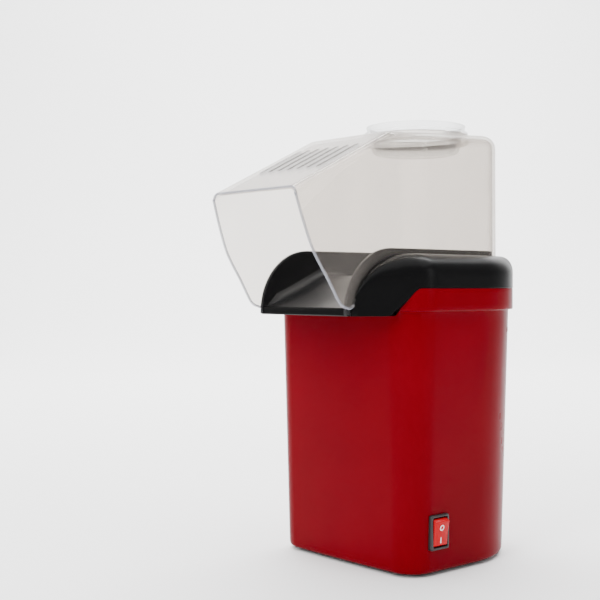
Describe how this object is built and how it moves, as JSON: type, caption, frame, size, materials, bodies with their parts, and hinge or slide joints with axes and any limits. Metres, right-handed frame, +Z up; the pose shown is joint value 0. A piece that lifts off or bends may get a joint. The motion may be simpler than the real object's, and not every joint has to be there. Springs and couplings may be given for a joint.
{
  "type": "hot-air popcorn maker",
  "caption": "Upright hot-air popcorn maker with a D-shaped bucket housing, pouring chute, clear lift-off hood and a nested measuring cup.",
  "frame": {"origin": "on the table, under the centre of the whole popcorn maker's bounding box; the popping chamber's axis stands 33.6 mm behind it", "axes": "+Z up, -Y towards the pouring chute, +X towards the switch side"},
  "size_m": [0.139, 0.2062, 0.288],
  "materials": {
    "red_abs": "deep crimson gloss moulded ABS",
    "collar_black": "black satin moulded plastic",
    "liner_grey": "dark grey satin heat-resistant plastic",
    "clear_pc": "clear polycarbonate",
    "chamber_alu": "spun and anodised aluminium",
    "duct_steel": "galvanised sheet steel",
    "mica": "pressed mica board",
    "heater_wire": "resistance wire",
    "sensor_dark": "phenolic thermostat body",
    "fuse_tin": "tinned metal",
    "fan_nylon": "off-white glass-filled nylon",
    "motor_zinc": "zinc-plated steel can",
    "shaft_steel": "ground steel",
    "deck_black": "black moulded nylon",
    "pcb_green": "green circuit board",
    "diode_black": "moulded epoxy",
    "switch_black": "black moulded nylon",
    "rocker_red": "translucent red plastic with white marks",
    "blade_brass": "stamped brass",
    "lead_black": "black silicone sleeve",
    "lead_red": "red silicone sleeve",
    "lead_white": "white silicone sleeve",
    "gland_rubber": "black rubber",
    "base_black": "black moulded plastic",
    "foot_rubber": "black rubber",
    "screw_steel": "zinc-plated steel"
  },
  "bodies": {
    "base": {"main_housing": "red_abs", "collar_shell": "collar_black", "chute_liner": "liner_grey", "popping_chamber": "chamber_alu", "air_duct": "duct_steel", "mica_card_a": "mica", "mica_card_b": "mica", "heater_coil": "heater_wire", "thermostat": "sensor_dark", "thermal_fuse": "fuse_tin", "motor_can": "motor_zinc", "fan_deck": "deck_black", "rectifier_board": "pcb_green", "rectifier_diodes": "diode_black", "switch_frame": "switch_black", "switch_blades": "blade_brass", "mains_lead": "lead_black", "motor_leads": "lead_red", "heater_leads": "lead_white", "cord_gland": "gland_rubber", "base_plate": "base_black", "feet": "foot_rubber", "base_screws": "screw_steel", "deck_screws": "screw_steel", "motor_screws": "screw_steel", "duct_screws": "screw_steel", "collar_screws": "screw_steel"},
    "hood_body": {"hood": "clear_pc"},
    "cup_body": {"measuring_cup": "clear_pc"},
    "rocker_body": {"switch_rocker": "rocker_red"},
    "rotor": {"fan": "fan_nylon", "motor_shaft": "shaft_steel"}
  },
  "joints": [
    {"name": "hood_lift", "type": "slide", "parent": "base", "child": "hood_body", "axis": [0, 0, 1], "range_m": [0, 0.09]},
    {"name": "cup_lift", "type": "slide", "parent": "hood_body", "child": "cup_body", "axis": [0, 0, 1], "range_m": [0, 0.05]},
    {"name": "rocker_tilt", "type": "hinge", "parent": "base", "child": "rocker_body", "pos_m": [0.06146, -0.0072, 0.0275], "axis": [0, -1, 0], "range_deg": [0, 16]},
    {"name": "fan_spin", "type": "hinge", "parent": "base", "child": "rotor", "pos_m": [0, 0.0336, 0.05], "axis": [0, 0, 1], "continuous": true}
  ]
}
